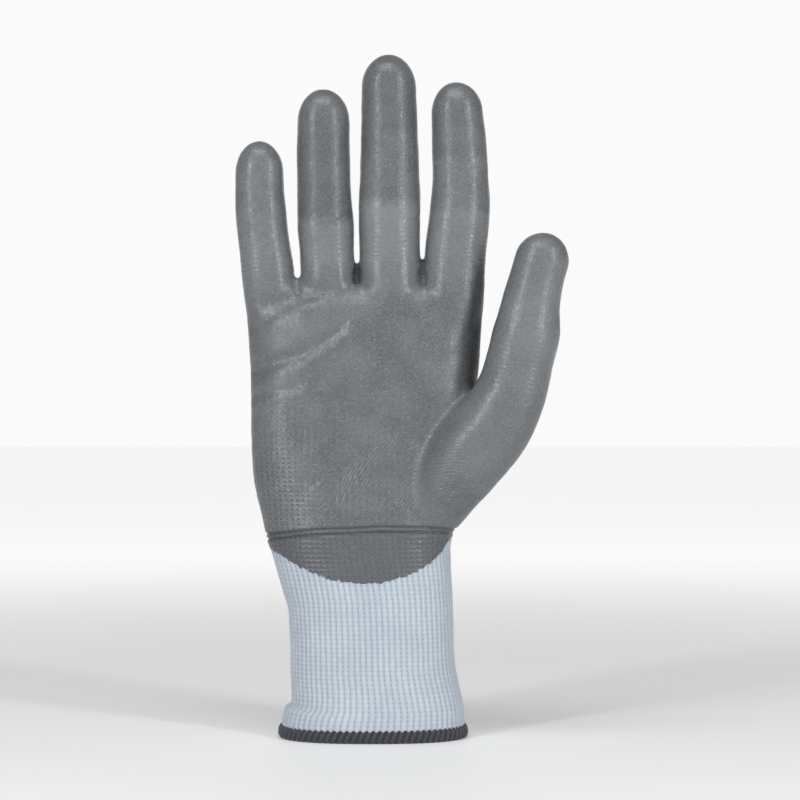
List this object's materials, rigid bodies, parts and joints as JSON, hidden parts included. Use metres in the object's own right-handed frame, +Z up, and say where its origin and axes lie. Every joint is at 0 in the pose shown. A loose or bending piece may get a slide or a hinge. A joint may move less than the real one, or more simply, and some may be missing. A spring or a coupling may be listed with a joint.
{
  "type": "cut resistant work glove",
  "caption": "Right-hand cut resistant knitted glove with a thin grey coating over palm, fingers and thumb, a light knitted cuff and a dark overlocked hem.",
  "frame": {"origin": "centre of the glove's box at its base, on the floor that the hem stands on", "axes": "+Z up from the hem to the fingertips, -Y out of the palm, +X towards the thumb"},
  "size_m": [0.1204, 0.0544, 0.25],
  "materials": {
    "knit_liner": "fine gauge plain knit in light blue grey yarn, matte with a slight fibre sheen",
    "palm_coating": "thin mid grey polyurethane skin, satin, the knit showing through",
    "hem_thread": "dark navy textured overlock thread, matte",
    "elastic_yarn": "bare elastic yarn, matte"
  },
  "bodies": {
    "palm": {"palm_liner": "knit_liner", "palm_coating": "palm_coating"},
    "cuff": {"cuff_knit": "knit_liner", "wrist_coating": "palm_coating", "cuff_hem": "hem_thread", "cuff_elastic_yarn_1": "elastic_yarn", "cuff_elastic_yarn_2": "elastic_yarn", "cuff_elastic_yarn_3": "elastic_yarn", "cuff_elastic_yarn_4": "elastic_yarn"},
    "little_proximal": {"little_proximal_liner": "knit_liner", "little_proximal_coating": "palm_coating"},
    "little_middle": {"little_middle_liner": "knit_liner", "little_middle_coating": "palm_coating"},
    "little_distal": {"little_distal_liner": "knit_liner", "little_distal_coating": "palm_coating"},
    "ring_proximal": {"ring_proximal_liner": "knit_liner", "ring_proximal_coating": "palm_coating"},
    "ring_middle": {"ring_middle_liner": "knit_liner", "ring_middle_coating": "palm_coating"},
    "ring_distal": {"ring_distal_liner": "knit_liner", "ring_distal_coating": "palm_coating"},
    "middle_proximal": {"middle_proximal_liner": "knit_liner", "middle_proximal_coating": "palm_coating"},
    "middle_middle": {"middle_middle_liner": "knit_liner", "middle_middle_coating": "palm_coating"},
    "middle_distal": {"middle_distal_liner": "knit_liner", "middle_distal_coating": "palm_coating"},
    "index_proximal": {"index_proximal_liner": "knit_liner", "index_proximal_coating": "palm_coating"},
    "index_middle": {"index_middle_liner": "knit_liner", "index_middle_coating": "palm_coating"},
    "index_distal": {"index_distal_liner": "knit_liner", "index_distal_coating": "palm_coating"},
    "thumb_proximal": {"thumb_proximal_liner": "knit_liner", "thumb_proximal_coating": "palm_coating"},
    "thumb_distal": {"thumb_distal_liner": "knit_liner", "thumb_distal_coating": "palm_coating"}
  },
  "joints": [
    {"name": "wrist_bend", "type": "hinge", "parent": "palm", "child": "cuff", "pos_m": [-0.01493, 0.00081, 0.075], "axis": [1, 0, 0], "range_deg": [-35, 35], "stiffness_Nm_per_rad": 0.15},
    {"name": "little_base_bend", "type": "hinge", "parent": "palm", "child": "little_proximal", "pos_m": [-0.04938, -0.00019, 0.1705], "axis": [0.9981, 0, 0.0611], "range_deg": [0, 60], "stiffness_Nm_per_rad": 0.02},
    {"name": "little_middle_bend", "type": "hinge", "parent": "little_proximal", "child": "little_middle", "pos_m": [-0.05036, -0.00051, 0.18647], "axis": [0.9981, 0, 0.0611], "range_deg": [0, 75], "stiffness_Nm_per_rad": 0.015},
    {"name": "little_end_bend", "type": "hinge", "parent": "little_middle", "child": "little_distal", "pos_m": [-0.05131, -0.00145, 0.20194], "axis": [0.9981, 0, 0.0611], "range_deg": [0, 45], "stiffness_Nm_per_rad": 0.015},
    {"name": "ring_base_bend", "type": "hinge", "parent": "palm", "child": "ring_proximal", "pos_m": [-0.02778, -0.00019, 0.1735], "axis": [0.9998, 0, 0.0209], "range_deg": [0, 60], "stiffness_Nm_per_rad": 0.02},
    {"name": "ring_middle_bend", "type": "hinge", "parent": "ring_proximal", "child": "ring_middle", "pos_m": [-0.02813, -0.00045, 0.19], "axis": [0.9998, 0, 0.0209], "range_deg": [0, 75], "stiffness_Nm_per_rad": 0.015},
    {"name": "ring_end_bend", "type": "hinge", "parent": "ring_middle", "child": "ring_distal", "pos_m": [-0.02858, -0.0016, 0.21159], "axis": [0.9998, 0, 0.0209], "range_deg": [0, 45], "stiffness_Nm_per_rad": 0.015},
    {"name": "middle_base_bend", "type": "hinge", "parent": "palm", "child": "middle_proximal", "pos_m": [-0.00473, -0.00019, 0.1745], "axis": [1, 0, 0.007], "range_deg": [0, 60], "stiffness_Nm_per_rad": 0.02},
    {"name": "middle_middle_bend", "type": "hinge", "parent": "middle_proximal", "child": "middle_middle", "pos_m": [-0.0049, -0.00067, 0.198], "axis": [1, 0, 0.007], "range_deg": [0, 75], "stiffness_Nm_per_rad": 0.015},
    {"name": "middle_end_bend", "type": "hinge", "parent": "middle_middle", "child": "middle_distal", "pos_m": [-0.00507, -0.00221, 0.2225], "axis": [1, 0, 0.007], "range_deg": [0, 45], "stiffness_Nm_per_rad": 0.015},
    {"name": "index_base_bend", "type": "hinge", "parent": "palm", "child": "index_proximal", "pos_m": [0.01982, -0.00019, 0.174], "axis": [1, 0, -0.007], "range_deg": [0, 60], "stiffness_Nm_per_rad": 0.02},
    {"name": "index_middle_bend", "type": "hinge", "parent": "index_proximal", "child": "index_middle", "pos_m": [0.01995, -0.00052, 0.193], "axis": [1, 0, -0.007], "range_deg": [0, 75], "stiffness_Nm_per_rad": 0.015},
    {"name": "index_end_bend", "type": "hinge", "parent": "index_middle", "child": "index_distal", "pos_m": [0.02009, -0.00158, 0.213], "axis": [1, 0, -0.007], "range_deg": [0, 45], "stiffness_Nm_per_rad": 0.015},
    {"name": "thumb_base_bend", "type": "hinge", "parent": "palm", "child": "thumb_proximal", "pos_m": [0.04174, -0.01518, 0.1349], "axis": [0.9749, 0, -0.2227], "range_deg": [0, 40], "stiffness_Nm_per_rad": 0.02},
    {"name": "thumb_end_bend", "type": "hinge", "parent": "thumb_proximal", "child": "thumb_distal", "pos_m": [0.04529, -0.01681, 0.15042], "axis": [0.9749, 0, -0.2227], "range_deg": [0, 60], "stiffness_Nm_per_rad": 0.015}
  ]
}
